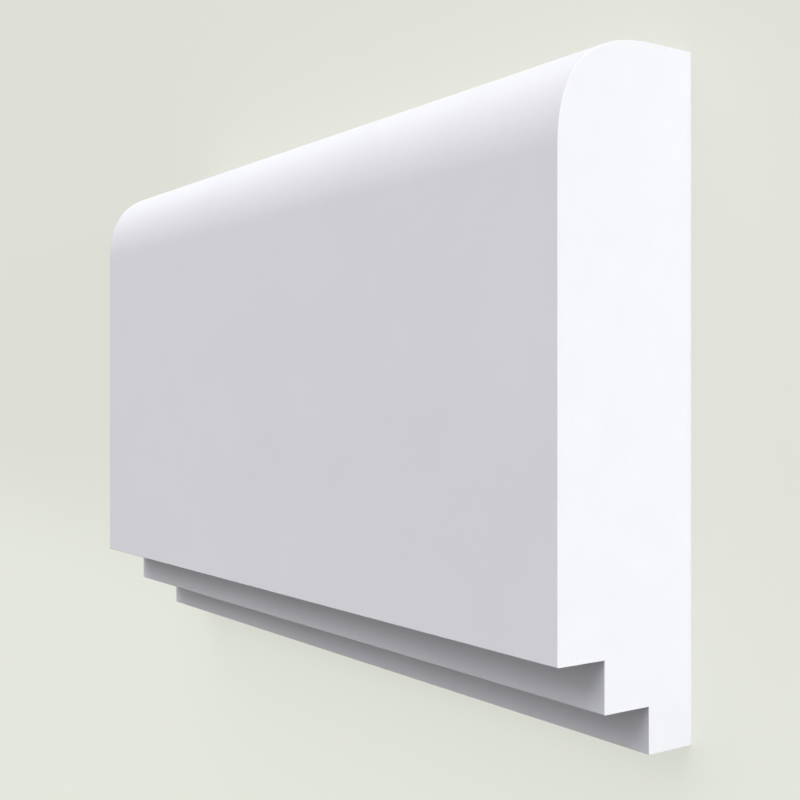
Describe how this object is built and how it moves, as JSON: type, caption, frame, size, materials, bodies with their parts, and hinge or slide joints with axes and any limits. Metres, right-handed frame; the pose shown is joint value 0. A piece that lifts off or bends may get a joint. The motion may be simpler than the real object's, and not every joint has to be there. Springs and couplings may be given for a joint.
{
  "type": "dado rail",
  "caption": "Short length of dado rail: a flat white moulding with a rounded top edge, a square stepped lower edge and a plain flat back that goes against a wall.",
  "frame": {"origin": "middle of the flat back face, on the floor that the rail lies on", "axes": "+X along the length, +Y from the stepped lower edge to the rounded top edge, +Z from the wall side out to the face"},
  "size_m": [0.111, 0.07, 0.018],
  "materials": {
    "white_paint": "satin"
  },
  "bodies": {
    "root": {"dado_rail": "white_paint"}
  },
  "joints": []
}
